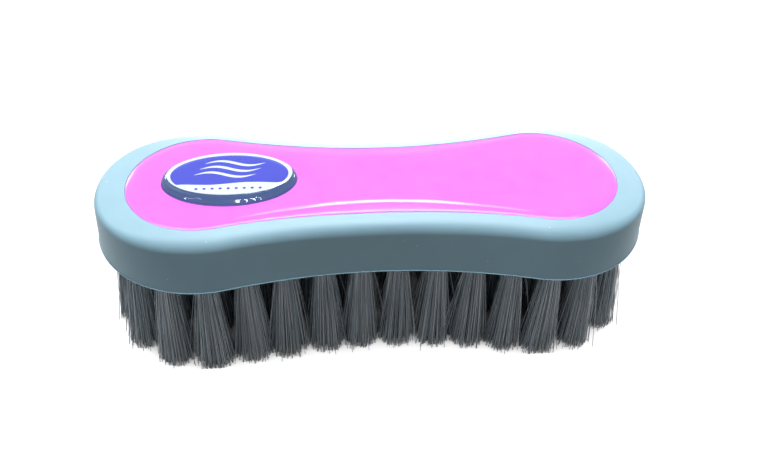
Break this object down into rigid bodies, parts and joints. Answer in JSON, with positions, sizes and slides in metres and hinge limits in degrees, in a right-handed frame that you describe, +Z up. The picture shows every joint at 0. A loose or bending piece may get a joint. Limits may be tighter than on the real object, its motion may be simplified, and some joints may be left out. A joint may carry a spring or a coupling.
{
  "type": "hair grooming brush",
  "caption": "Rigid hand brush with a peanut outline: tufted hard block, soft grip ring round it, glossy back panel and a domed oval badge. Stands on its bristle tips.",
  "frame": {"origin": "under the middle of the brush, in the plane of its bristle tips, on which it stands", "axes": "+X along the brush, away from the end that carries the badge, +Y across it, +Z up from the tips to the back"},
  "size_m": [0.1394, 0.0542, 0.0411],
  "materials": {
    "block_plastic": "moulded dark grey polypropylene",
    "grip_elastomer": "soft-touch blue-grey elastomer, fine matt",
    "panel_gloss": "glossy pink moulded plastic",
    "badge_print": "blue printed film with a white border",
    "dome_resin": "clear poured resin, domed",
    "nylon_filament": "dark grey nylon filament, satin"
  },
  "bodies": {
    "root": {"tuft_block": "block_plastic", "soft_grip": "grip_elastomer", "back_panel": "panel_gloss", "badge_plate": "badge_print", "badge_dome": "dome_resin", "tuft_01": "nylon_filament", "tuft_02": "nylon_filament", "tuft_03": "nylon_filament", "tuft_04": "nylon_filament", "tuft_05": "nylon_filament", "tuft_06": "nylon_filament", "tuft_07": "nylon_filament", "tuft_08": "nylon_filament", "tuft_09": "nylon_filament", "tuft_10": "nylon_filament", "tuft_11": "nylon_filament", "tuft_12": "nylon_filament", "tuft_13": "nylon_filament", "tuft_14": "nylon_filament", "tuft_15": "nylon_filament", "tuft_16": "nylon_filament", "tuft_17": "nylon_filament", "tuft_18": "nylon_filament", "tuft_19": "nylon_filament", "tuft_20": "nylon_filament", "tuft_21": "nylon_filament", "tuft_22": "nylon_filament", "tuft_23": "nylon_filament", "tuft_24": "nylon_filament", "tuft_25": "nylon_filament", "tuft_26": "nylon_filament", "tuft_27": "nylon_filament", "tuft_28": "nylon_filament", "tuft_29": "nylon_filament", "tuft_30": "nylon_filament", "tuft_31": "nylon_filament", "tuft_32": "nylon_filament", "tuft_33": "nylon_filament", "tuft_34": "nylon_filament", "tuft_35": "nylon_filament", "tuft_36": "nylon_filament", "tuft_37": "nylon_filament", "tuft_38": "nylon_filament", "tuft_39": "nylon_filament", "tuft_40": "nylon_filament", "tuft_41": "nylon_filament", "tuft_42": "nylon_filament", "tuft_43": "nylon_filament", "tuft_44": "nylon_filament", "tuft_45": "nylon_filament", "tuft_46": "nylon_filament", "tuft_47": "nylon_filament", "tuft_48": "nylon_filament", "tuft_49": "nylon_filament", "tuft_50": "nylon_filament", "tuft_51": "nylon_filament", "tuft_52": "nylon_filament", "tuft_53": "nylon_filament", "tuft_54": "nylon_filament"}
  },
  "joints": []
}
